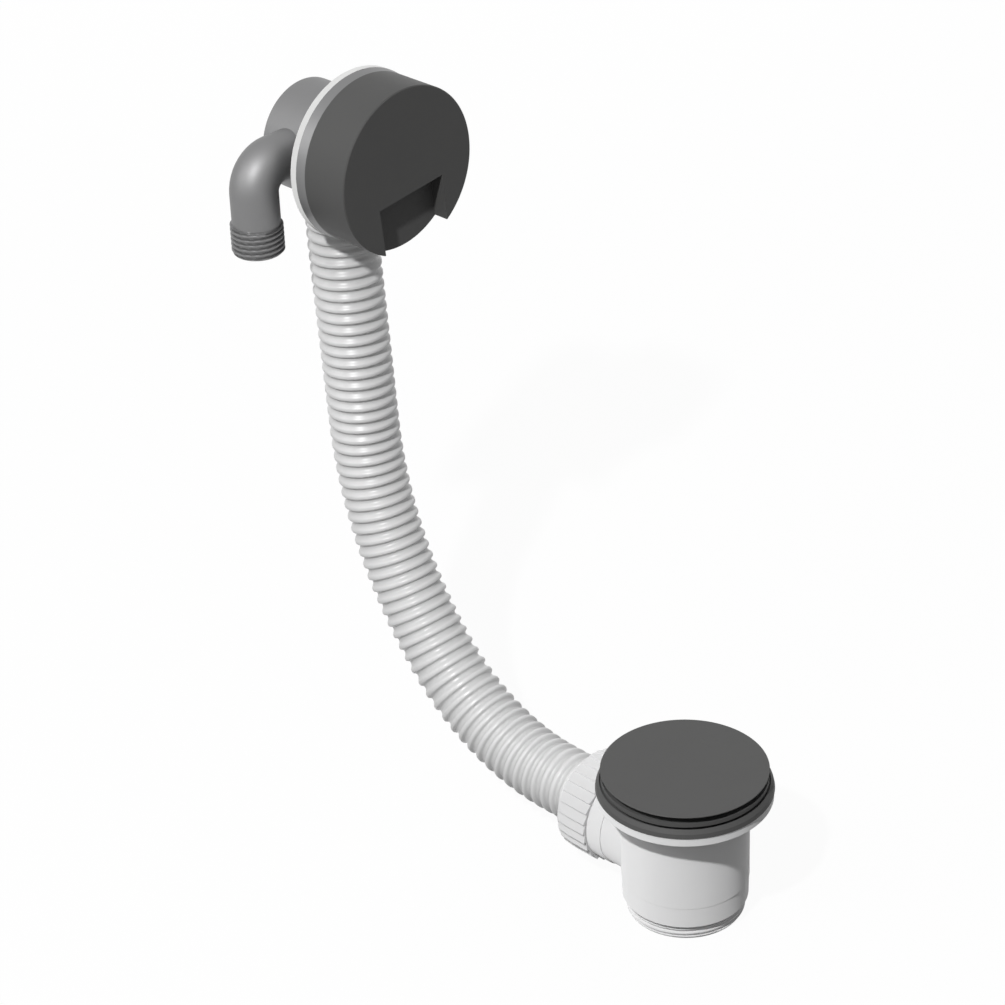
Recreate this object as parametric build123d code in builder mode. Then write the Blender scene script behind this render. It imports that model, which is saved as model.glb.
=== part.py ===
from math import cos, radians, sin
import os

from build123d import *

os.makedirs("parts", exist_ok=True)

# Bath waste and overflow filler. Origin on the waste axis, in the seat under the waste flange.
# +Z is up, the overflow head stands at -X and its cap faces +X. All sizes in millimetres.

# Driving dimensions
flange_d = 70.6  # waste flange
barrel_d = 51.2  # waste body
outlet_d = 47.8  # outlet thread, G 1 1/2
inlet_d = 20.955  # inlet thread, G 1/2
cap_d = 68.0  # filler cap
cap_h = 21.5  # filler cap, back to front
rear_d = 45.1  # rear body behind the bath wall
head_rise = 222.5  # overflow axis above the bath floor
head_reach = 168.7  # bath end wall behind the waste axis
branch_drop = 29.75  # branch axis below the bath floor
branch_d = 39.9  # branch collar behind the union nut
hose_d = 29.0  # overflow hose over its crests
hose_pitch = 5.16  # from crest to crest
plug_lift = 8.0  # travel of the plug
cap_turn = 5.9  # how far the cap is turned on its spigot, degrees
sway = 1.1  # how far the hose swings sideways round the waste axis, degrees
wall = 2.6  # usual wall of the castings and mouldings
gap = 0.3  # clearance round pieces that pass each other

# Waste: heights and radii
flange_r = flange_d / 2
flange_lap = 0.3
body_flange_r = flange_r - flange_lap
rim_top = 3.4
rim_wide = 1.65
rim_lean = 0.4
rim_edge = 1.8
rim_gap = 0.45
plug_r = flange_r - rim_wide - rim_gap
ring_step = 0.2
ring_r = plug_r - ring_step
ring_high = 2.35
carrier_top = rim_top + ring_high
edge_gap = 2.65
edge_under = carrier_top + edge_gap
edge_t = 0.3
plug_top = edge_under + edge_t
bowl_floor = 1.7
bowl_dish = 0.4
barrel_r = barrel_d / 2
socket_r = barrel_r - wall
socket_deep = 15.0
tail_r = socket_r - gap
tail_wall = 2.0
tail_short = 1.0
throat_lead = 1.4
throat_r = tail_r - tail_wall
outlet_r = outlet_d / 2
branch_r = branch_d / 2
barrel_foot = 0.6
barrel_low = -branch_drop - branch_r - barrel_foot
outlet_long = 7.0
outlet_end = barrel_low - outlet_long
outlet_lead = 0.8
top_flange = 3.6
seal_t = 1.6

# Branch and union nut, along -X
pipe_out = 2.4
collar_step = 0.45
collar_at = barrel_r + pipe_out
nut_out = 10.05
nut_at = barrel_r + nut_out
nut_long = 18.7
nut_step = 1.75
nut_r = branch_r + nut_step
nut_teeth = 29
nut_lip = 4.8
nose_wall = 2.25
thread_r = hose_d / 2 + nose_wall
nose_seal_t = 2.4
branch_end = nut_at + nut_long - nut_lip - nose_seal_t

# Hose section
crest_r = hose_d / 2
rib_deep = 1.75
groove_r = crest_r - rib_deep
hose_wall = 3.55
bore_r = crest_r - hose_wall
cuff_step = 1.25
cuff_r = crest_r - cuff_step

# Overflow head, measured forward from the bath end wall
cap_r = cap_d / 2
gasket_t = 3.0
plate_t = 4.5
plate_front = gasket_t + plate_t
plate_step = 0.4
plate_draft = 0.55
cap_front = plate_front + cap_h
spigot_r = cap_r - wall - gap
notch_deep = 7.1
notch_half = 17.0
notch_top = 9.5
rear_r = rear_d / 2
rear_long = 29.8
chamber_r = rear_r - wall
bolt_r = 8.0
tube_r = bolt_r + gap + wall
elbow_back = 16.5
thread_step = 0.85
elbow_r = inlet_d / 2 - thread_step
elbow_wall = 2.3
elbow_bore = elbow_r - elbow_wall
elbow_rise = 1.9
elbow_out = 39.4
elbow_bend = 10.48
inlet_end = 33.2
inlet_long = 12.2
hose_clear = 0.55
spigot_back = crest_r + hose_clear
shoulder = 2.4
shoulder_low = rear_r + shoulder
spigot_long = 14.0
spigot_low = shoulder_low + spigot_long

head = Plane(origin=(-head_reach, 0, head_rise), x_dir=(0, 1, 0), z_dir=(1, 0, 0))
cap_plane = Plane(
    origin=head.origin,
    x_dir=(0, cos(radians(cap_turn)), sin(radians(cap_turn))),
    z_dir=head.z_dir,
)
aside = (sin(radians(sway)), cos(radians(sway)), 0)
outward = (-cos(radians(sway)), sin(radians(sway)), 0)
hose_far = (head_reach + spigot_back) / cos(radians(sway))
hose_plane = Plane(origin=(0, 0, 0), x_dir=outward, z_dir=aside)
branch = Plane(origin=(0, 0, -branch_drop), x_dir=aside, z_dir=outward)
drop = Plane(
    origin=(hose_far * outward[0], hose_far * outward[1], head_rise),
    x_dir=aside,
    z_dir=(0, 0, -1),
)

# Waste flange: rim on the bath floor, bowl, threaded tail, crossed bars with a hub for the cartridge
hub_r = 8.0
hub_top = -6.5
hub_deep = 7.0
hub_bar = 2.6
bar_bite = 0.5
barrel_bore = 4.6
barrel_wall = 1.2
cartridge_r = barrel_bore + barrel_wall

with BuildPart() as waste_flange:
    with BuildSketch(Plane.XZ):
        with BuildLine():
            Polyline(
                (tail_r, 0),
                (flange_r, 0),
                (flange_r - rim_lean, rim_edge),
                (flange_r - rim_wide, rim_top),
                (flange_r - rim_wide, bowl_floor + bowl_dish),
                (throat_r + throat_lead, bowl_floor),
                (throat_r, bowl_floor - throat_lead),
                (throat_r, -socket_deep + tail_short),
                (tail_r, -socket_deep + tail_short),
                close=True,
            )
        make_face()
    revolve(axis=Axis.Z)
    with BuildSketch(Plane.XY.offset(hub_top - hub_deep)):
        Circle(hub_r)
        Rectangle(2 * (throat_r + bar_bite), hub_bar)
        Rectangle(hub_bar, 2 * (throat_r + bar_bite))
        Circle(cartridge_r, mode=Mode.SUBTRACT)
    extrude(amount=hub_deep)

waste_flange.part.label = "waste_flange"
export_step(waste_flange.part, "parts/waste_flange.step")

# Flange seal: flat ring in the recess of the waste body
seal_wide = 5.0
seal_land = 1.6
seal_out = body_flange_r - seal_land
seal_in = seal_out - seal_wide

with BuildPart() as flange_seal:
    with BuildSketch(Plane.XY.offset(-seal_t)):
        Circle(seal_out)
        Circle(seal_in, mode=Mode.SUBTRACT)
    extrude(amount=seal_t)

flange_seal.part.label = "flange_seal"
export_step(flange_seal.part, "parts/flange_seal.step")

# Waste body: top flange, barrel, short outlet tail, side branch with a nose for the union nut
with BuildPart() as waste_body:
    with BuildSketch(Plane.XZ):
        with BuildLine():
            Polyline(
                (0, 0),
                (seal_in, 0),
                (seal_in, -seal_t),
                (seal_out, -seal_t),
                (seal_out, 0),
                (body_flange_r, 0),
                (body_flange_r, -top_flange),
                (barrel_r, -top_flange),
                (barrel_r, barrel_low),
                (outlet_r, barrel_low),
                (outlet_r, outlet_end + outlet_lead),
                (outlet_r - outlet_lead, outlet_end),
                (0, outlet_end),
                close=True,
            )
        make_face()
    revolve(axis=Axis.Z)
    with BuildSketch(branch):
        Circle(branch_r - collar_step)
    extrude(amount=collar_at)
    with BuildSketch(branch.offset(collar_at)):
        Circle(branch_r)
    extrude(amount=nut_at - gap - collar_at)
    with BuildSketch(branch.offset(nut_at - gap)):
        Circle(thread_r)
    extrude(amount=branch_end - nut_at + gap)
    with BuildSketch(Plane.XY):
        Circle(socket_r)
    extrude(amount=-socket_deep, mode=Mode.SUBTRACT)
    with BuildSketch(Plane.XY):
        Circle(outlet_r - wall)
    extrude(amount=outlet_end, mode=Mode.SUBTRACT)
    with BuildSketch(branch):
        Circle(cuff_r + gap)
    extrude(amount=branch_end, mode=Mode.SUBTRACT)

waste_body.part.label = "waste_body"
export_step(waste_body.part, "parts/waste_body.step")

# Click cartridge: barrel hung in the hub, floor at its lower end
cartridge_low = -36.0
barrel_lip = 1.6
barrel_top = hub_top + barrel_lip
barrel_floor = 1.5
spring_floor = cartridge_low + barrel_floor
stem_r = 3.0
fit = 0.1

with BuildPart() as cartridge_barrel:
    with BuildSketch(Plane.XZ):
        with BuildLine():
            Polyline(
                (0, cartridge_low),
                (cartridge_r - fit, cartridge_low),
                (cartridge_r - fit, hub_top),
                (hub_r, hub_top),
                (hub_r, barrel_top),
                (stem_r + gap, barrel_top),
                (stem_r + gap, hub_top),
                (barrel_bore, hub_top),
                (barrel_bore, spring_floor),
                (0, spring_floor),
                close=True,
            )
        make_face()
    revolve(axis=Axis.Z)

cartridge_barrel.part.label = "cartridge_barrel"
export_step(cartridge_barrel.part, "parts/cartridge_barrel.step")

# Plug: spindle, carrier with its thin ring, seal and the thin edged cap
carrier_web = 1.2
ring_deep = 1.2
web_top = carrier_top - ring_deep
web_under = web_top - carrier_web
stroke_spare = 1.9
head_t = 3.0
spindle_low = hub_top - plug_lift - stroke_spare - head_t
boss_r = 7.0
boss_t = 1.6

with BuildPart() as plug_spindle:
    with BuildSketch(Plane.XZ):
        with BuildLine():
            Polyline(
                (0, spindle_low),
                (barrel_bore - fit, spindle_low),
                (barrel_bore - fit, spindle_low + head_t),
                (stem_r, spindle_low + head_t),
                (stem_r, web_under - boss_t),
                (boss_r, web_under - boss_t),
                (boss_r, web_under),
                (0, web_under),
                close=True,
            )
        make_face()
    revolve(axis=Axis.Z)

plug_spindle.part.label = "plug_spindle"
export_step(plug_spindle.part, "parts/plug_spindle.step")

ring_t = 0.45
ring_tall = 1.85
ring_foot = carrier_top - ring_tall
pad_r = 27.0

with BuildPart() as plug_carrier:
    with BuildSketch(Plane.XZ):
        with BuildLine():
            Polyline(
                (0, web_under),
                (pad_r, web_under),
                (pad_r, ring_foot),
                (ring_r, ring_foot),
                (ring_r, carrier_top),
                (ring_r - ring_t, carrier_top),
                (ring_r - ring_t, web_top),
                (0, web_top),
                close=True,
            )
        make_face()
    revolve(axis=Axis.Z)

plug_carrier.part.label = "plug_carrier"
export_step(plug_carrier.part, "parts/plug_carrier.step")

seal_off = 3.6
seat_r = throat_r + seal_off
seal_rest = 0.4
seal_foot = 3.0
seal_flare = 2.0

with BuildPart() as plug_seal:
    with BuildSketch(Plane.XZ):
        with BuildLine():
            Polyline(
                (seat_r - seal_foot, web_under),
                (seat_r - seal_foot, bowl_floor + 3 * seal_rest),
                (seat_r, bowl_floor + seal_rest),
                (seat_r + seal_flare, bowl_floor + 2 * seal_rest),
                (seat_r + seal_flare / 2, web_under),
                close=True,
            )
        make_face()
    revolve(axis=Axis.Z)

plug_seal.part.label = "plug_seal"
export_step(plug_seal.part, "parts/plug_seal.step")

post_r = 14.0
cap_t = 1.4
cap_bevel = 3.5
cap_edge = 0.15

with BuildPart() as plug_cap:
    with BuildSketch(Plane.XZ):
        with BuildLine():
            Polyline(
                (0, web_top),
                (post_r, web_top),
                (post_r, plug_top - cap_t),
                (plug_r - cap_bevel, plug_top - cap_t),
                (plug_r, edge_under),
                (plug_r, plug_top - cap_edge),
                (plug_r - cap_edge, plug_top),
                (0, plug_top),
                close=True,
            )
        make_face()
    revolve(axis=Axis.Z)

plug_cap.part.label = "plug_cap"
export_step(plug_cap.part, "parts/plug_cap.step")

# Cartridge spring: square wire, closed between the barrel floor and the spindle head
spring_h = spindle_low - spring_floor
spring_wire = 0.8
spring_r = barrel_bore - spring_wire / 2 - 2 * fit
spring_turns = 4

with BuildPart() as cartridge_spring:
    with BuildLine() as coil:
        Helix(
            pitch=(spring_h - spring_wire) / spring_turns,
            height=spring_h - spring_wire,
            radius=spring_r,
            center=(0, 0, spring_floor + spring_wire / 2),
        )
    with BuildSketch(Plane(origin=coil.line @ 0, z_dir=coil.line % 0)):
        Rectangle(spring_wire, spring_wire)
    sweep(is_frenet=True)

cartridge_spring.part.label = "cartridge_spring"
export_step(cartridge_spring.part, "parts/cartridge_spring.step")

# Union nut: saw-tooth grip, slimmer towards the hose, threaded bore, lip round the hose
tooth = 360 / nut_teeth
tooth_deep = 1.2
tooth_flank = 0.1  # steep side of a tooth, as a share of its pitch
nut_turn = 3.6  # where the first tooth stands, degrees
nut_body = 9.0
nut_grip = 14.7
nut_taper = 0.5
nut_mouth = 1.6


def nut_corner(radius, angle):
    return (radius * cos(radians(angle)), radius * sin(radians(angle)))


with BuildPart() as union_nut:
    with BuildSketch(branch.offset(nut_at)):
        with BuildLine():
            corners = []
            for i in range(nut_teeth):
                corners.append(nut_corner(nut_r - tooth_deep, nut_turn + i * tooth))
                corners.append(nut_corner(nut_r, nut_turn + (i + tooth_flank) * tooth))
            Polyline(*corners, close=True)
        make_face()
    extrude(amount=nut_long)
    with BuildSketch(Plane(origin=branch.origin, x_dir=outward, z_dir=aside)):
        with BuildLine():
            Polyline(
                (nut_at, 0),
                (nut_at, nut_r),
                (nut_at + nut_body, nut_r),
                (nut_at + nut_grip, nut_r - nut_taper),
                (nut_at + nut_long, crest_r + gap + nut_mouth),
                (nut_at + nut_long, 0),
                close=True,
            )
        make_face()
    revolve(axis=Axis(branch.origin, outward), mode=Mode.INTERSECT)
    with BuildSketch(branch.offset(nut_at)):
        Circle(thread_r + gap)
    extrude(amount=nut_long - nut_lip, mode=Mode.SUBTRACT)
    with BuildSketch(branch.offset(nut_at)):
        Circle(crest_r + gap)
    extrude(amount=nut_long, mode=Mode.SUBTRACT)

union_nut.part.label = "union_nut"
export_step(union_nut.part, "parts/union_nut.step")

# Nose seal: squeezed by the nut between the branch nose and the lip, round the hose cuff
with BuildPart() as nose_seal:
    with BuildSketch(branch.offset(branch_end)):
        Circle(thread_r - 2 * fit)
        Circle(cuff_r, mode=Mode.SUBTRACT)
    extrude(amount=nut_at + nut_long - nut_lip - branch_end)

nose_seal.part.label = "nose_seal"
export_step(nose_seal.part, "parts/nose_seal.step")

# Hose route in its upright plane: down from the spigot, three tangent bends, level into the branch
hose_top = head_rise - shoulder_low
hose_bite = 7.0
hose_in = nut_at + hose_bite
run = hose_far - hose_in
fall = hose_top + branch_drop
bends = [(1.92 * run, 4.0), (1.18 * run, 36.2), (0.638 * run, 49.8)]
lead_in = 6.5
heading = [0, bends[0][1], bends[0][1] + bends[1][1], 90]
drops = [bends[i][0] * (sin(radians(heading[i + 1])) - sin(radians(heading[i]))) for i in range(3)]
slack = (fall - lead_in - sum(drops)) / cos(radians(heading[1]))

with BuildLine(hose_plane) as hose_route:
    Line((hose_far, hose_top), (hose_far, hose_top - lead_in))
    JernArc(hose_route.line @ 1, hose_route.line % 1, bends[0][0], -bends[0][1])
    Line(hose_route.line @ 1, hose_route.line @ 1 + slack * (hose_route.line % 1))
    JernArc(hose_route.line @ 1, hose_route.line % 1, bends[1][0], -bends[1][1])
    JernArc(hose_route.line @ 1, hose_route.line % 1, bends[2][0], -bends[2][1])
    Line(hose_route.line @ 1, (hose_in, -branch_drop))

route = hose_route.wire()
route_long = route.length
ribbed_from = lead_in
rib_lead = 0.4
ribbed_to = route_long - (nut_long - hose_bite) - rib_lead
ribs = round((ribbed_to - ribbed_from) / hose_pitch)
rib = (ribbed_to - ribbed_from) / ribs


def station(distance):
    return Plane(
        origin=route.position_at(distance, position_mode=PositionMode.LENGTH),
        x_dir=aside,
        z_dir=route.tangent_at(distance, position_mode=PositionMode.LENGTH),
    )


# Overflow hose: plain cuffs and one ruled ring on each side of every crest
with BuildPart() as overflow_hose:
    with BuildSketch(station(0)):
        Circle(cuff_r)
    with BuildSketch(station(ribbed_from - rib_lead)):
        Circle(cuff_r)
    for i in range(ribs):
        with BuildSketch(station(ribbed_from + i * rib)):
            Circle(groove_r)
        with BuildSketch(station(ribbed_from + (i + 0.5) * rib)):
            Circle(crest_r)
    with BuildSketch(station(ribbed_to)):
        Circle(groove_r)
    with BuildSketch(station(ribbed_to + rib_lead)):
        Circle(cuff_r)
    with BuildSketch(station(route_long)):
        Circle(cuff_r)
    loft(ruled=True)
    with BuildSketch(station(0)):
        Circle(bore_r)
    sweep(path=route, mode=Mode.SUBTRACT)

overflow_hose.part.label = "overflow_hose"
export_step(overflow_hose.part, "parts/overflow_hose.step")

# Hose clip: band with a screw block behind
clip_wide = 5.0
clip_t = 1.0
clip_block = 7.0
clip_at = shoulder_low + gap

with BuildPart() as hose_clip:
    with BuildSketch(drop.offset(clip_at)):
        Circle(cuff_r + clip_t)
        with Locations((0, -cuff_r - clip_t)):
            Rectangle(clip_block, 3 * clip_t)
        Circle(cuff_r, mode=Mode.SUBTRACT)
    extrude(amount=clip_wide)

hose_clip.part.label = "hose_clip"
export_step(hose_clip.part, "parts/hose_clip.step")

# Rear body: chamber, inlet elbow into the centre tube, overflow spigot down into the hose
inlet = Plane(
    origin=(-head_reach - elbow_back, -elbow_out, head_rise - inlet_end),
    x_dir=(1, 0, 0),
    z_dir=(0, 0, 1),
)
elbow_axis = head_rise + elbow_rise
groove_deep = 1.4
groove_land = 0.55
groove_in = chamber_r + groove_land
groove_out = rear_r - groove_land
tube_back = 2.0
rear_edge = 0.8

elbow_plane = Plane(origin=(-head_reach - elbow_back, 0, 0), x_dir=(0, -1, 0), z_dir=(-1, 0, 0))

with BuildLine(elbow_plane) as elbow_route:
    Line((tube_r - wall / 2, elbow_axis), (elbow_out - elbow_bend, elbow_axis))
    JernArc(elbow_route.line @ 1, elbow_route.line % 1, elbow_bend, -90)
    Line(elbow_route.line @ 1, (elbow_out, head_rise - inlet_end))

with BuildPart() as rear_body:
    with BuildSketch(head):
        Circle(rear_r)
    extrude(amount=-rear_long)
    chamfer(rear_body.faces().sort_by(Axis.X)[0].edges(), length=rear_edge)
    with BuildSketch(drop.offset(tube_r)):
        Circle(cuff_r)
    extrude(amount=shoulder_low - tube_r)
    with BuildSketch(drop.offset(shoulder_low)):
        Circle(bore_r - fit)
    extrude(amount=spigot_long)
    with BuildSketch(head):
        Circle(chamber_r)
        Circle(tube_r, mode=Mode.SUBTRACT)
    extrude(amount=-rear_long + wall, mode=Mode.SUBTRACT)
    with BuildSketch(head):
        Circle(tube_r)
    extrude(amount=-tube_back, mode=Mode.SUBTRACT)
    with BuildSketch(Plane(origin=elbow_route.line @ 0, z_dir=elbow_route.line % 0)):
        Circle(elbow_r)
    sweep(path=elbow_route.wire())
    with BuildSketch(inlet):
        Circle(inlet_d / 2)
    extrude(amount=inlet_long)
    with BuildSketch(drop.offset(tube_r + gap)):
        Circle(bore_r - wall)
    extrude(amount=spigot_low - tube_r - gap, mode=Mode.SUBTRACT)
    with BuildSketch(Plane(origin=elbow_route.line @ 0, z_dir=elbow_route.line % 0)):
        Circle(elbow_bore)
    sweep(path=elbow_route.wire(), mode=Mode.SUBTRACT)
    with BuildSketch(head):
        Circle(bolt_r + gap)
    extrude(amount=-rear_long + wall, mode=Mode.SUBTRACT)
    with BuildSketch(head):
        Circle(groove_out)
        Circle(groove_in, mode=Mode.SUBTRACT)
    extrude(amount=-groove_deep, mode=Mode.SUBTRACT)

rear_body.part.label = "rear_body"
export_step(rear_body.part, "parts/rear_body.step")

# Rear seal: square ring in the groove of the rear body
with BuildPart() as rear_seal:
    with BuildSketch(head):
        Circle(groove_out)
        Circle(groove_in, mode=Mode.SUBTRACT)
    extrude(amount=-groove_deep)

rear_seal.part.label = "rear_seal"
export_step(rear_seal.part, "parts/rear_seal.step")

# Face gasket between the bath wall and the face plate
with BuildPart() as face_gasket:
    with BuildSketch(head):
        Circle(cap_r + plate_step)
        Circle(chamber_r, mode=Mode.SUBTRACT)
    extrude(amount=gasket_t)

face_gasket.part.label = "face_gasket"
export_step(face_gasket.part, "parts/face_gasket.step")

# Face plate: tapered rim, web with overflow ports, spigot that carries the cap
web_front = gasket_t + wall
spigot_reach = 6.0
spigot_front = plate_front + spigot_reach
spigot_wall = 3.0
spigot_in = spigot_r - spigot_wall
port_r = (tube_r + chamber_r) / 2
port_land = 1.0
port_d = chamber_r - tube_r - 2 * port_land
ring_lip = 1.6
ring_wide = 1.2
ring_at = spigot_front - ring_lip
ring_deep = 1.2

with BuildPart() as face_plate:
    with BuildSketch(Plane(origin=head.origin, x_dir=(1, 0, 0), z_dir=(0, -1, 0))):
        with BuildLine():
            Polyline(
                (gasket_t, bolt_r + gap),
                (gasket_t, cap_r + plate_step),
                (plate_front, cap_r + plate_step - plate_draft),
                (plate_front, spigot_r),
                (spigot_front, spigot_r),
                (spigot_front, spigot_in),
                (web_front, spigot_in),
                (web_front, bolt_r + gap),
                close=True,
            )
        make_face()
    revolve(axis=Axis(head.origin, (1, 0, 0)))
    with BuildSketch(head.offset(gasket_t)):
        with PolarLocations(port_r, 8):
            Circle(port_d / 2)
    extrude(amount=wall, mode=Mode.SUBTRACT)
    with BuildSketch(head.offset(ring_at)):
        Circle(spigot_r)
        Circle(spigot_r - ring_deep, mode=Mode.SUBTRACT)
    extrude(amount=ring_wide, mode=Mode.SUBTRACT)

face_plate.part.label = "face_plate"
export_step(face_plate.part, "parts/face_plate.step")

# Cap ring: square seal ring in the spigot groove
with BuildPart() as cap_ring:
    with BuildSketch(head.offset(ring_at)):
        Circle(cap_r - wall)
        Circle(spigot_r - ring_deep, mode=Mode.SUBTRACT)
    extrude(amount=ring_wide)

cap_ring.part.label = "cap_ring"
export_step(cap_ring.part, "parts/cap_ring.step")

# Hollow bolt and its washer: they clamp plate, gasket and rear body together
washer_t = 1.0
washer_rim = 2.6
bolt_head = 4.0
bolt_rim = 2.2
bolt_long = 14.0
bolt_wall = 1.8

with BuildPart() as bolt_washer:
    with BuildSketch(head.offset(web_front)):
        Circle(bolt_r + washer_rim)
        Circle(bolt_r + gap, mode=Mode.SUBTRACT)
    extrude(amount=washer_t)

bolt_washer.part.label = "bolt_washer"
export_step(bolt_washer.part, "parts/bolt_washer.step")

with BuildPart() as hollow_bolt:
    with BuildSketch(head.offset(web_front + washer_t)):
        Circle(bolt_r + bolt_rim)
    extrude(amount=bolt_head)
    with BuildSketch(head.offset(web_front + washer_t)):
        Circle(bolt_r)
    extrude(amount=-bolt_long)
    with BuildSketch(head.offset(web_front + washer_t + bolt_head)):
        RegularPolygon(bolt_r - bolt_wall, 6)
    extrude(amount=-bolt_head - bolt_long, mode=Mode.SUBTRACT)

hollow_bolt.part.label = "hollow_bolt"
export_step(hollow_bolt.part, "parts/hollow_bolt.step")

# Filler cap: hollow drum, notch in the lower front for the water, slot in the notch ceiling
skin = 2.2
front_edge = 0.4
slot_wide = 3.6
notch_high = cap_r
notch_mid = -notch_top - notch_high / 2

with BuildPart() as filler_cap:
    with BuildSketch(cap_plane.offset(plate_front)):
        Circle(cap_r)
    extrude(amount=cap_h)
    chamfer(filler_cap.faces().sort_by(Axis.X)[-1].edges(), length=front_edge)
    with BuildSketch(cap_plane.offset(plate_front)):
        Circle(cap_r - wall)
    extrude(amount=cap_h - notch_deep - skin, mode=Mode.SUBTRACT)
    with BuildSketch(cap_plane.offset(cap_front - notch_deep - skin)):
        Circle(cap_r - wall)
        with Locations((0, notch_mid + skin)):
            Rectangle(2 * (notch_half + skin), notch_high, mode=Mode.SUBTRACT)
    extrude(amount=notch_deep + skin - wall, mode=Mode.SUBTRACT)
    with BuildSketch(cap_plane.offset(cap_front)):
        with Locations((0, notch_mid)):
            Rectangle(2 * notch_half, notch_high)
    extrude(amount=-notch_deep, mode=Mode.SUBTRACT)
    with BuildSketch(cap_plane.offset(cap_front - (notch_deep + slot_wide) / 2)):
        with Locations((0, -notch_top + skin / 2)):
            Rectangle(1.6 * notch_half, skin)
    extrude(amount=slot_wide, mode=Mode.SUBTRACT)

filler_cap.part.label = "filler_cap"
export_step(filler_cap.part, "parts/filler_cap.step")

print("hose", round(route_long, 1), "mm,", ribs, "crests, bends", [round(b[0]) for b in bends])
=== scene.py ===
from math import atan2, cos, floor, hypot, pi, radians, sin, tan

import bmesh
import bpy
from mathutils import Matrix, Vector


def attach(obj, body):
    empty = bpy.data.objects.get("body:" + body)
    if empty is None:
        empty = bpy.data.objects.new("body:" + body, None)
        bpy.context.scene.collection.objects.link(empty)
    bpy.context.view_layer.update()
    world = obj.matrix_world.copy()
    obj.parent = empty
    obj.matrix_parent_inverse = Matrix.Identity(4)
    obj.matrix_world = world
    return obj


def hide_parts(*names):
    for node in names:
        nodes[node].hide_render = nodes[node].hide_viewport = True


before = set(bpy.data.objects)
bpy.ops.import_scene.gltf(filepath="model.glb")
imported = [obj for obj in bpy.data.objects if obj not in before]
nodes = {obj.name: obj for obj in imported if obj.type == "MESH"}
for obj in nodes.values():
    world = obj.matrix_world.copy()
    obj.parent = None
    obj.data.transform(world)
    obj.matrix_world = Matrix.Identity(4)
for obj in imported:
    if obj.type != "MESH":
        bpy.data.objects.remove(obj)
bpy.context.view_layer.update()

mm = 0.001


# A shader socket that can be added to and multiplied
class Wire:
    def __init__(self, tree, socket=None):
        self.tree, self.socket = tree, socket

    def node(self, kind, settings=None, values=None, out=0):
        made = self.tree.nodes.new("ShaderNode" + kind)
        for name, value in (settings or {}).items():
            setattr(made, name, value)
        for name, value in (values or {}).items():
            if isinstance(value, Wire):
                self.tree.links.new(value.socket, made.inputs[name])
            else:
                made.inputs[name].default_value = value
        return Wire(self.tree, made.outputs[out]) if made.outputs else None

    def __add__(self, other):
        return self.node("Math", {"operation": "ADD"}, {0: self, 1: other})

    def __mul__(self, other):
        return self.node("Math", {"operation": "MULTIPLY"}, {0: self, 1: other})

    __radd__ = __add__
    __rmul__ = __mul__


def freshTree(owner):
    owner.use_nodes = True
    owner.node_tree.nodes.clear()
    return Wire(owner.node_tree)


def newFinish(name):
    finish = bpy.data.materials.new(name)
    return finish, freshTree(finish)


def closeFinish(wire, values):
    shader = wire.node("BsdfPrincipled", values=values)
    wire.node("OutputMaterial", values={"Surface": shader})


# Sockets of the Mix node in colour mode
mixFactor, mixFirst, mixSecond, mixResult = 0, 6, 7, 2


def blend(wire, mask, first, second):
    values = {mixFactor: mask, mixFirst: first, mixSecond: second}
    return wire.node("Mix", {"data_type": "RGBA"}, values, out=mixResult)


def shaded(look, share):
    return [channel * share for channel in look["colour"]] + [1]


def tint(wire, look, mask):
    return blend(wire, mask, shaded(look, 1 - look["spread"]), shaded(look, 1 + look["spread"]))


# Painted shade: base colour darkened by the per-point groove mask, so thread and rib grooves look
# shaded
def shadeInGrooves(wire, shade, look):
    if "grooveShade" not in look:
        return shade
    grooveShade = wire.node("Attribute", {"attribute_name": "grooveShade"}, out="Fac")
    return blend(wire, grooveShade, shade, shaded(look, 1 - look["grooveShade"]))


# Detail and roughness of each kind of noise
noiseKinds = dict(
    cloud=(3.0, 0.5), grain=(2.0, 0.6), smear=(4.0, 0.65),
    flow=(4.0, 0.6), skin=(2.0, 0.5), mark=(3.0, 0.7),
)


def noise(wire, place, kind, scale):
    detail, rough = noiseKinds[kind]
    values = {"Vector": place, "Scale": scale, "Detail": detail, "Roughness": rough}
    return wire.node("TexNoise", values=values)


def mottled(look, mask):
    return look["rough"] - look["roughSpread"] / 2 + look["roughSpread"] * mask


def relief(wire, look, height, depth):
    values = {"Strength": look["bump"], "Distance": depth * mm, "Height": height}
    return wire.node("Bump", values=values)


grainDepth, skinDepth, markDepth = 0.1, 0.08, 0.05
grainInRelief, grainInTone = 0.7, 0.4  # the rest is the broad cloud


# Satin coating or casting: fine grain, faint handling marks in the gloss, painted shade in the
# thread grooves where the look sets it
def satinFinish(name, look):
    finish, wire = newFinish(name)
    place = wire.node("TexCoord", out="Object")
    cloud = noise(wire, place, "cloud", look["cloudScale"])
    grain = noise(wire, place, "grain", look["grainScale"])
    smear = noise(wire, place, "smear", look["smearScale"])
    height = grainInRelief * grain + (1 - grainInRelief) * cloud
    tone = grainInTone * grain + (1 - grainInTone) * cloud
    closeFinish(wire, {
        "Base Color": shadeInGrooves(wire, tint(wire, look, tone), look),
        "Roughness": mottled(look, smear),
        "Metallic": look["metal"],
        "Specular IOR Level": look["shine"],
        "Normal": relief(wire, look, height, grainDepth),
    })
    return finish


# Moulded plastic or rubber: faint flow mottling, fine skin, painted shade in the rib grooves where
# the look sets it
def mouldedFinish(name, look):
    finish, wire = newFinish(name)
    place = wire.node("TexCoord", out="Object")
    flow = noise(wire, place, "flow", look["flowScale"])
    skin = noise(wire, place, "skin", look["skinScale"])
    closeFinish(wire, {
        "Base Color": shadeInGrooves(wire, tint(wire, look, flow), look),
        "Roughness": mottled(look, flow),
        "Specular IOR Level": look["shine"],
        "Diffuse Roughness": look["matt"],
        "Normal": relief(wire, look, skin, skinDepth),
    })
    return finish


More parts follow.
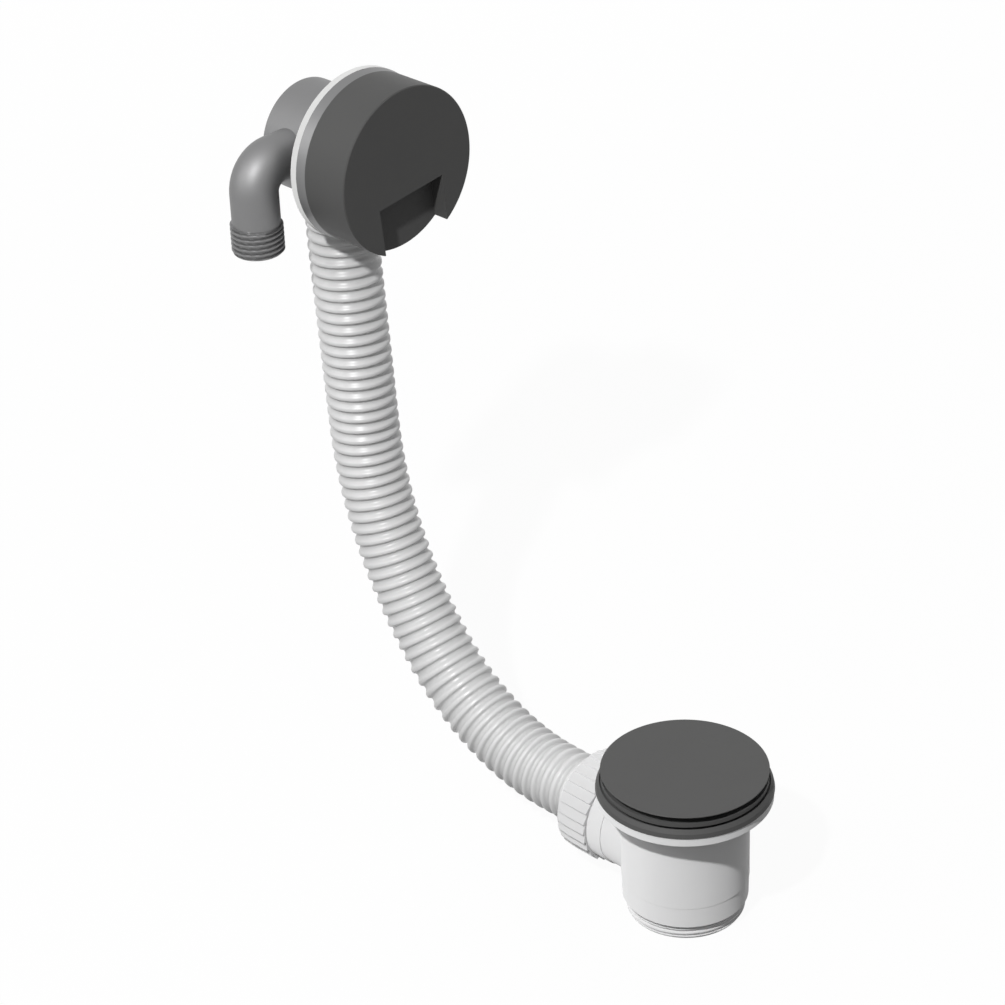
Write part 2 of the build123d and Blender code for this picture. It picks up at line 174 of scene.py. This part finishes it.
# Turned or drawn metal: tool marks, closest along the axis with the largest scale
def turnedFinish(name, look):
    finish, wire = newFinish(name)
    place = wire.node("TexCoord", out="Object")
    drawn = wire.node("Mapping", values={"Vector": place, "Scale": look["marks"]})
    mark = noise(wire, drawn, "mark", 1.0)
    cloud = noise(wire, place, "cloud", look["cloudScale"])
    closeFinish(wire, {
        "Base Color": tint(wire, look, cloud),
        "Roughness": mottled(look, mark),
        "Metallic": 1.0,
        "Normal": relief(wire, look, mark, markDepth),
    })
    return finish


darkPlating = dict(
    colour=(0.105, 0.105, 0.104), spread=0.05, rough=0.5, roughSpread=0.1, metal=0.0, shine=0.12,
    cloudScale=70.0, grainScale=2600.0, smearScale=160.0, bump=0.05,
)
# The casting's last setting darkens the inlet thread's grooves with painted shade
greyCasting = dict(
    colour=(0.25, 0.25, 0.252), spread=0.05, rough=0.56, roughSpread=0.08, metal=0.97, shine=0.3,
    cloudScale=90.0, grainScale=2200.0, smearScale=140.0, bump=0.06, grooveShade=0.14,
)
greyPlate = dict(
    colour=(0.24, 0.24, 0.242), spread=0.05, rough=0.45, roughSpread=0.08, metal=0.95, shine=0.3,
    cloudScale=80.0, grainScale=2400.0, smearScale=150.0, bump=0.05,
)
whiteMoulding = dict(
    colour=(0.825, 0.825, 0.827), spread=0.02, rough=0.45, roughSpread=0.08, shine=0.2, matt=1.0,
    flowScale=60.0, skinScale=3000.0, bump=0.04,
)
nutMoulding = dict(
    colour=(0.765, 0.765, 0.767), spread=0.02, rough=0.5, roughSpread=0.08, shine=0.2, matt=1.0,
    flowScale=70.0, skinScale=3000.0, bump=0.05,
)
# The hose's last setting darkens its rib grooves with painted shade
hosePlastic = dict(
    colour=(0.765, 0.765, 0.765), spread=0.02, rough=0.33, roughSpread=0.06, shine=0.65, matt=0.0,
    flowScale=45.0, skinScale=2600.0, bump=0.04, grooveShade=0.15,
)
gasketRubber = dict(
    colour=(0.75, 0.75, 0.745), spread=0.03, rough=0.65, roughSpread=0.1, shine=0.3, matt=1.0,
    flowScale=110.0, skinScale=1800.0, bump=0.1,
)
sealRubber = dict(
    colour=(0.018, 0.018, 0.018), spread=0.2, rough=0.6, roughSpread=0.15, shine=0.3, matt=1.0,
    flowScale=150.0, skinScale=2200.0, bump=0.15,
)
washerFibre = dict(
    colour=(0.32, 0.11, 0.07), spread=0.2, rough=0.8, roughSpread=0.1, shine=0.2, matt=1.0,
    flowScale=260.0, skinScale=1500.0, bump=0.3,
)
turnedBrass = dict(
    colour=(0.72, 0.5, 0.22), spread=0.1, rough=0.3, roughSpread=0.12,
    marks=(300.0, 300.0, 5200.0), cloudScale=90.0, bump=0.12,
)
clipSteel = dict(
    colour=(0.56, 0.56, 0.57), spread=0.1, rough=0.28, roughSpread=0.12,
    marks=(200.0, 200.0, 6000.0), cloudScale=90.0, bump=0.1,
)

plating = satinFinish("darkPlating", darkPlating)
casting = satinFinish("greyCasting", greyCasting)
plateGrey = satinFinish("greyPlate", greyPlate)
moulding = mouldedFinish("whiteMoulding", whiteMoulding)
nutWhite = mouldedFinish("nutMoulding", nutMoulding)
ribbed = mouldedFinish("hosePlastic", hosePlastic)
gasket = mouldedFinish("gasketRubber", gasketRubber)
rubber = mouldedFinish("sealRubber", sealRubber)
fibre = mouldedFinish("washerFibre", washerFibre)
brass = turnedFinish("turnedBrass", turnedBrass)
steel = turnedFinish("clipSteel", clipSteel)


def dress(finish, *names):
    for name in names:
        nodes[name].data.materials.clear()
        nodes[name].data.materials.append(finish)


dress(plating, "filler_cap", "plug_cap", "plug_carrier", "waste_flange")
dress(casting, "rear_body")
dress(plateGrey, "face_plate")
dress(moulding, "waste_body")
dress(nutWhite, "union_nut")
dress(ribbed, "overflow_hose")
dress(gasket, "face_gasket")
dress(rubber, "flange_seal", "plug_seal", "nose_seal", "rear_seal", "cap_ring")
dress(fibre, "bolt_washer")
dress(brass, "hollow_bolt", "plug_spindle", "cartridge_barrel")
dress(steel, "cartridge_spring", "hose_clip")
print("finishes on", len(nodes), "CAD nodes")


def link(name, data):
    piece = bpy.data.objects.new(name, data)
    bpy.context.scene.collection.objects.link(piece)
    return piece


def addPiece(name, bm, finish, sharp=35.0):
    bmesh.ops.recalc_face_normals(bm, faces=bm.faces)
    mesh = bpy.data.meshes.new(name)
    bm.to_mesh(mesh)
    bm.free()
    if "custom_normal" in mesh.attributes:
        mesh.attributes.remove(mesh.attributes["custom_normal"])
    mesh.polygons.foreach_set("use_smooth", [True] * len(mesh.polygons))
    mesh.set_sharp_from_angle(angle=radians(sharp))
    mesh.materials.append(finish)
    return link(name, mesh)


# Overflow hose: its outline is spun straight, then bent along the route
hose = dict(
    sway=1.1, far=183.784, top=197.55, end=42.65, low=-29.75, lead=6.5,
    bends=((1.92, 4.0), (1.18, 36.2), (0.638, 49.8)),  # radius as a share of the run, degrees
    crest=14.5, cuff=13.25, bore=10.95, lip=0.4, ribStart=6.4, ribStop=11.4,
    deep=1.35, riseEnd=0.6, fallStart=0.76, sweep=2.0,
    runs=((19, 4.893), (20, 5.175), (5, 5.56), (13, 5.25)),  # ribs and pitch, from the top down
    ribSteps=16, boreSteps=114, around=72, curveSteps=48, weld=0.001, sharp=60.0,
)


def hoseRoute(spec):
    run = spec["far"] - spec["end"]
    fall = spec["top"] - spec["low"]
    headings = [0.0]
    for share, turn in spec["bends"]:
        headings.append(headings[-1] + radians(turn))
    radii = [share * run for share, turn in spec["bends"]]
    drops = [radius * (sin(headings[i + 1]) - sin(headings[i])) for i, radius in enumerate(radii)]
    slack = (fall - spec["lead"] - sum(drops)) / cos(headings[1])
    steps = (
        ("line", spec["lead"], 0), ("arc", radii[0], 0), ("line", slack, 1),
        ("arc", radii[1], 1), ("arc", radii[2], 2),
    )
    u, v = spec["far"], spec["top"]
    knots = [(u, v, 0.0)]
    reach, length = [], 0.0  # reach of the curve's handles
    for form, size, at in steps:
        start, stop = headings[at], headings[at if form == "line" else at + 1]
        if form == "line":
            u, v = u - size * sin(start), v - size * cos(start)
            reach.append(size / 3)
            length += size
        else:
            u, v = u - size * (cos(start) - cos(stop)), v - size * (sin(stop) - sin(start))
            reach.append(4 / 3 * tan((stop - start) / 4) * size)
            length += size * (stop - start)
        knots.append((u, v, stop))
    length += u - spec["end"]
    reach.append((u - spec["end"]) / 3)
    knots.append((spec["end"], spec["low"], pi / 2))
    return knots, reach, length


def hoseCurve(spec, knots, reach):
    outward = Vector((-cos(radians(spec["sway"])), sin(radians(spec["sway"])), 0))
    lift = Vector((0, 0, 1))
    curve = bpy.data.curves.new("hoseRoute", "CURVE")
    curve.dimensions = "3D"
    spline = curve.splines.new("BEZIER")
    spline.bezier_points.add(len(knots) - 1)
    spline.resolution_u = spec["curveSteps"]
    for i, (u, v, heading) in enumerate(knots):
        knot = spline.bezier_points[i]
        knot.handle_left_type = knot.handle_right_type = "FREE"
        along = -outward * sin(heading) - lift * cos(heading)
        knot.co = (outward * u + lift * v) * mm
        knot.handle_left = knot.co - along * reach[max(i - 1, 0)] * mm
        knot.handle_right = knot.co + along * reach[min(i, len(reach) - 1)] * mm
    return curve


# A rib: long sweep out of the groove, flat crest, short steep step back
def ribHeight(spec, at):
    if at < spec["riseEnd"]:
        return (0.5 - 0.5 * cos(pi * at / spec["riseEnd"])) ** spec["sweep"]
    return 0.5 + 0.5 * cos(pi * max(at - spec["fallStart"], 0.0) / (1 - spec["fallStart"]))


# Points of the outline: place along the hose, radius, how deep in a groove
def hoseOutline(spec, length):
    crest, cuff, bore, steps = (spec[name] for name in ("crest", "cuff", "bore", "ribSteps"))
    nominal = sum(count * pitch for count, pitch in spec["runs"])
    stretch = (length - spec["ribStop"] - spec["ribStart"]) / nominal
    outline = [(0.0, bore, 0.0), (0.0, cuff, 0.0), (spec["ribStart"] - spec["lip"], cuff, 0.0)]
    along = spec["ribStart"]
    for count, pitch in spec["runs"]:
        for i in range(count * steps):
            hollow = 1 - ribHeight(spec, i % steps / steps)
            outline.append((along, crest - spec["deep"] * hollow, hollow))
            along += pitch * stretch / steps
    outline += [(along, crest - spec["deep"], 1.0), (along + spec["lip"], cuff, 0.0)]
    outline += [(length, cuff, 0.0), (length, bore, 0.0)]
    back = spec["boreSteps"]
    outline += [(length * (back - i) / back, bore, 0.0) for i in range(1, back)]
    return outline


def straightHose(spec, length):
    bm = bmesh.new()
    # Groove mask for the painted shade in the rib grooves
    depth = bm.verts.layers.float.new("grooveShade")
    line = []
    for along, radius, hollow in hoseOutline(spec, length):
        vert = bm.verts.new((along * mm, 0, radius * mm))
        vert[depth] = hollow
        line.append(vert)
    edges = [bm.edges.new((line[i - 1], line[i])) for i in range(len(line))]
    bmesh.ops.spin(
        bm, geom=line + edges, cent=(0, 0, 0), axis=(1, 0, 0),
        angle=2 * pi, steps=spec["around"], use_merge=True,
    )
    bmesh.ops.remove_doubles(bm, verts=bm.verts, dist=spec["weld"] * mm)
    return bm


def bendHose(spec):
    knots, reach, length = hoseRoute(spec)
    route = link("hoseRoute", hoseCurve(spec, knots, reach))
    straight = addPiece("straightHose", straightHose(spec, length), ribbed, spec["sharp"])
    bend = straight.modifiers.new("bend", "CURVE")
    bend.object, bend.deform_axis = route, "POS_X"
    depsgraph = bpy.context.evaluated_depsgraph_get()
    mesh = bpy.data.meshes.new_from_object(straight.evaluated_get(depsgraph))
    for spare in (straight, route):
        bpy.data.objects.remove(spare)
    print("hose", round(length, 1), "mm long,", len(mesh.polygons), "faces")
    return link("overflowHose", mesh)


hosePiece = bendHose(hose)
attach(hosePiece, "fixed")
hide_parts("overflow_hose")

# Pipe threads, cut into copies of the two threaded bodies
inletThread = dict(
    centre=(-185.2, -39.4), radius=10.4775, root=9.4, low=189.3, high=201.5, pitch=2.07, steps=96,
    lowRadius=9.55, highRadius=9.66, chamfer=0.9, topRun=0.4, startAngle=-32.0,
    flat=0.5, flank=0.45, fade=0.1,
)
outletThread = dict(
    centre=(0.0, 0.0), radius=23.9, root=23.05, low=-56.5, high=-50.3, pitch=2.1, steps=42,
    lowRadius=23.45, highRadius=23.2, chamfer=0.5, topRun=1.5, startAngle=-120.0,
    flat=0.5, flank=0.45, fade=0.1,
)
copyWeld = 0.002 * mm
wallNear = 0.02 * mm  # how close to a wall its own points lie
wallTilt = 0.5  # upright part of a normal that still counts as a wall's
rimNear = 0.01  # millimetres below the upper rim that still count as the rim


def mergedCopy(name):
    bm = bmesh.new()
    bm.from_mesh(nodes[name].data)
    # Groove mask for painted shade, filled in where a thread is cut
    bm.verts.layers.float.new("grooveShade")
    bmesh.ops.remove_doubles(bm, verts=bm.verts, dist=copyWeld)
    return bm


def progress(value, start, stop):
    return min(max((value - start) / (stop - start), 0.0), 1.0)


def ridge(phase, spec):
    slope = 1 - spec["flat"]
    side = abs(phase - floor(phase) - 0.5) * 2  # 1 on the crest, 0 in the groove
    raised = progress(side, slope * spec["flank"], slope * (1 + spec["flank"]))
    return raised * raised * (3 - 2 * raised)


def openWall(bm, spec):
    cx, cy = (place * mm for place in spec["centre"])
    low, high, radius = spec["low"] * mm, spec["high"] * mm, spec["radius"] * mm

    def onWall(vert):
        off = abs(hypot(vert.co.x - cx, vert.co.y - cy) - radius)
        return off < wallNear and low - wallNear < vert.co.z < high + wallNear

    wall = [face for face in bm.faces if all(onWall(vert) for vert in face.verts)]
    wall = [face for face in wall if abs(face.normal.z) < wallTilt]
    bmesh.ops.delete(bm, geom=wall, context="FACES")
    rims = [edge for edge in bm.edges if len(edge.link_faces) == 1]
    lowRim = [edge for edge in rims if abs(edge.verts[0].co.z - low) < wallNear]
    highRim = [edge for edge in rims if abs(edge.verts[0].co.z - high) < wallNear]
    return len(wall), lowRim, highRim


def growWall(bm, spec, lowRim, highRim):
    rise = Vector((0, 0, (spec["high"] - spec["low"]) * mm / spec["steps"]))
    grown = {vert for edge in lowRim + highRim for vert in edge.verts}
    ring = lowRim
    for _ in range(spec["steps"] - 1):
        made = bmesh.ops.extrude_edge_only(bm, edges=ring)["geom"]
        verts = {item for item in made if isinstance(item, bmesh.types.BMVert)}
        edges = [item for item in made if isinstance(item, bmesh.types.BMEdge)]
        bmesh.ops.translate(bm, vec=rise, verts=list(verts))
        ring = [edge for edge in edges if all(vert in verts for vert in edge.verts)]
        grown |= verts
    bmesh.ops.bridge_loops(bm, edges=ring + highRim)
    return grown


def shapeThread(bm, spec, verts):
    # Groove mask for the painted shade in the thread grooves
    depth = bm.verts.layers.float["grooveShade"]
    cx, cy = (place * mm for place in spec["centre"])
    crest, root, pitch = spec["radius"], spec["root"], spec["pitch"]
    span = spec["high"] - spec["low"]
    last = span - spec["topRun"]
    shift = last / pitch - spec["startAngle"] / 360  # the top ridge ends at startAngle
    for vert in verts:
        angle = atan2(vert.co.y - cy, vert.co.x - cx) / (2 * pi)
        height = vert.co.z / mm - spec["low"]
        turn = height / pitch - angle - shift
        centre = (floor(turn + 0.5) + shift + angle) * pitch
        raised = ridge(turn + 0.5, spec) * progress(centre, last + spec["fade"], last)
        # Painted shade, strongest in the groove between ridges
        vert[depth] = (1 - raised) ** 2
        lead = min(height / spec["chamfer"], 1.0)
        size = root + (crest - root) * raised
        size = min(size, spec["lowRadius"] + (crest - spec["lowRadius"]) * lead)
        if height > span - rimNear:
            size = spec["highRadius"]
        scale = size * mm / hypot(vert.co.x - cx, vert.co.y - cy)
        vert.co.x, vert.co.y = cx + (vert.co.x - cx) * scale, cy + (vert.co.y - cy) * scale


def cutThread(bm, spec):
    faces, lowRim, highRim = openWall(bm, spec)
    counts = faces, len(lowRim), len(highRim)
    shapeThread(bm, spec, growWall(bm, spec, lowRim, highRim))
    return counts


# Waste barrel: a faint step line and a slight draft below it
barrelFoot = dict(
    radius=25.6, line=-41.1, under=-41.6, low=-50.3, step=0.18, draft=0.15, near=0.2,
)


def barrelSkin(bm, spec):
    radius, low = spec["radius"] * mm, spec["low"] * mm

    def onBarrel(vert):
        off = abs(hypot(vert.co.x, vert.co.y) - radius)
        return off < wallNear and vert.co.z > low - wallNear

    return [face for face in bm.faces if all(onBarrel(vert) for vert in face.verts)]


def draftBarrel(bm, spec):
    line, under, near = spec["line"], spec["under"], spec["near"]
    for height in (line + near, line, under, under - near):
        skin = barrelSkin(bm, spec)
        edges = {edge for face in skin for edge in face.edges}
        verts = {vert for face in skin for vert in face.verts}
        geom = skin + list(edges) + list(verts)
        bmesh.ops.bisect_plane(bm, geom=geom, plane_co=(0, 0, height * mm), plane_no=(0, 0, 1))
    moved = {vert for face in barrelSkin(bm, spec) for vert in face.verts}
    for vert in moved:
        height = vert.co.z / mm
        inset = spec["step"] * progress(height, line, under)
        inset += spec["draft"] * progress(height, under, spec["low"])
        scale = 1 - inset / spec["radius"]
        vert.co.x, vert.co.y = vert.co.x * scale, vert.co.y * scale
    return len(moved)


for node, name, spec, finish, slot in (
    ("rear_body", "rearBody", inletThread, casting, "grey_metal"),
    ("waste_body", "wasteBody", outletThread, moulding, "white_plastic"),
):
    bm = mergedCopy(node)
    print(node, "thread: wall faces and rims", cutThread(bm, spec))
    if node == "waste_body":
        print("barrel foot drafted,", draftBarrel(bm, barrelFoot), "points")
    piece = addPiece(name, bm, finish)
    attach(piece, "fixed")
    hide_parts(node)

# Worm screw of the hose clip
clipScrew = dict(
    place=(-198.3, 3.8, 194.75), lean=-90.0, headRadius=2.0, headLong=2.2, headSides=6,
    rim=0.5, recess=0.5, shaftRadius=1.5, shaftLong=9.6, shaftSides=24,
)


def addRod(bm, radius, long, sides):
    rod = bmesh.ops.create_cone(
        bm, cap_ends=True, segments=sides, radius1=radius * mm, radius2=radius * mm, depth=long * mm,
    )
    return rod["verts"]


def makeClipScrew(spec):
    bm = bmesh.new()
    head = addRod(bm, spec["headRadius"], spec["headLong"], spec["headSides"])
    bmesh.ops.translate(bm, vec=(0, 0, spec["shaftLong"] / 2 * mm), verts=head)
    top = max(bm.faces, key=lambda face: face.calc_center_median().z)
    bmesh.ops.inset_region(bm, faces=[top], thickness=spec["rim"] * mm, depth=0.0)
    bmesh.ops.translate(bm, vec=(0, 0, -spec["recess"] * mm), verts=list(top.verts))
    addRod(bm, spec["shaftRadius"], spec["shaftLong"], spec["shaftSides"])
    lean = Matrix.Rotation(radians(spec["lean"]), 3, "X")
    bmesh.ops.rotate(bm, cent=(0, 0, 0), matrix=lean, verts=bm.verts)
    bmesh.ops.translate(bm, vec=Vector(spec["place"]) * mm, verts=bm.verts)
    return bm


screwPiece = addPiece("clipScrew", makeClipScrew(clipScrew), steel)
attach(screwPiece, "fixed")
print("clip screw placed")

# Camera, lamps, room and floor
camera = dict(
    place=(656.85, -744.65, 711.7), azimuth=45.29, elevation=30.34, roll=-2.27,
    lens=110.873, sensor=36.0, near=0.01, far=50.0,
)
key = dict(place=(194.0, -731.0, 938.0), power=25.3, radius=25.0)
side = dict(
    place=(-676.0, -1266.0, 900.0), aim=(-90.0, -10.0, 100.0), power=4.1, size=800.0, gloss=True,
)
rear = dict(
    place=(-1331.0, 1231.0, 489.0), aim=(-90.0, -10.0, 100.0), power=12.0, size=1200.0, gloss=False,
)
room = dict(
    fill=0.25, floorDepth=57.5, floorSize=6.0, floorShade=0.15, floorSeen=0.92, floorGlow=0.95,
)
white = (1, 1, 1, 1)


def placeCamera(spec):
    az, el, roll = (radians(spec[name]) for name in ("azimuth", "elevation", "roll"))
    back = Vector((sin(az) * cos(el), -cos(az) * cos(el), sin(el)))
    flat = Vector((cos(az), sin(az), 0))
    upright = back.cross(flat)
    right = flat * cos(roll) + upright * sin(roll)
    up = upright * cos(roll) - flat * sin(roll)
    data = bpy.data.cameras.new("camera")
    data.lens, data.sensor_width = spec["lens"], spec["sensor"]
    data.clip_start, data.clip_end = spec["near"], spec["far"]
    piece = link("camera", data)
    turn = Matrix((right, up, back)).transposed().to_4x4()
    piece.matrix_world = Matrix.Translation(Vector(spec["place"]) * mm) @ turn
    bpy.context.scene.camera = piece


def placeKey(spec):
    data = bpy.data.lights.new("key", "POINT")
    data.energy, data.shadow_soft_size = spec["power"], spec["radius"] * mm
    wire = freshTree(data)
    even = wire.node("LightFalloff", values={"Strength": 1.0}, out="Constant")
    wire.node("OutputLight", values={"Surface": wire.node("Emission", values={"Strength": even})})
    lamp = link("key", data)
    lamp.location = Vector(spec["place"]) * mm
    lamp.visible_camera = False


def placePanel(name, spec):
    data = bpy.data.lights.new(name, "AREA")
    data.energy, data.size = spec["power"], spec["size"] * mm
    lamp = link(name, data)
    place, aim = Vector(spec["place"]) * mm, Vector(spec["aim"]) * mm
    turn = (aim - place).to_track_quat("-Z", "Y").to_matrix().to_4x4()
    lamp.matrix_world = Matrix.Translation(place) @ turn
    lamp.visible_camera, lamp.visible_glossy = False, spec["gloss"]


# 1 where a ray shows the room itself, 0 where it lights the object
def seen(wire):
    shown = 0
    for ray in ("Is Camera Ray", "Is Glossy Ray", "Is Transmission Ray"):
        shown = wire.node("LightPath", out=ray) + shown
    return wire.node("Clamp", values={"Value": shown})


def lightRoom(spec):
    world = bpy.data.worlds.new("studio")
    wire = freshTree(world)
    fill = wire.node("Background", values={"Color": white, "Strength": spec["fill"]})
    plain = wire.node("Background", values={"Color": white, "Strength": 1.0})
    both = wire.node("MixShader", values={0: seen(wire), 1: fill, 2: plain})
    wire.node("OutputWorld", values={"Surface": both})
    bpy.context.scene.world = world


def layFloor(spec):
    bm = bmesh.new()
    bmesh.ops.create_grid(bm, x_segments=1, y_segments=1, size=spec["floorSize"] / 2)
    bmesh.ops.translate(bm, vec=(0, 0, -spec["floorDepth"] * mm), verts=bm.verts)
    finish, wire = newFinish("paleFloor")
    shown = seen(wire)
    shade = shown * (spec["floorSeen"] - spec["floorShade"]) + spec["floorShade"]
    colour = wire.node("CombineColor", values={0: shade, 1: shade, 2: shade})
    matt = wire.node("BsdfDiffuse", values={"Color": colour})
    glow = wire.node("Emission", values={"Color": white, "Strength": 1.0})
    both = wire.node("MixShader", values={0: shown * spec["floorGlow"], 1: matt, 2: glow})
    wire.node("OutputMaterial", values={"Surface": both})
    addPiece("floor", bm, finish)


placeCamera(camera)
placeKey(key)
placePanel("side", side)
placePanel("rear", rear)
lightRoom(room)
layFloor(room)
bpy.context.scene.view_settings.view_transform = "Standard"
print("camera, light and floor placed")
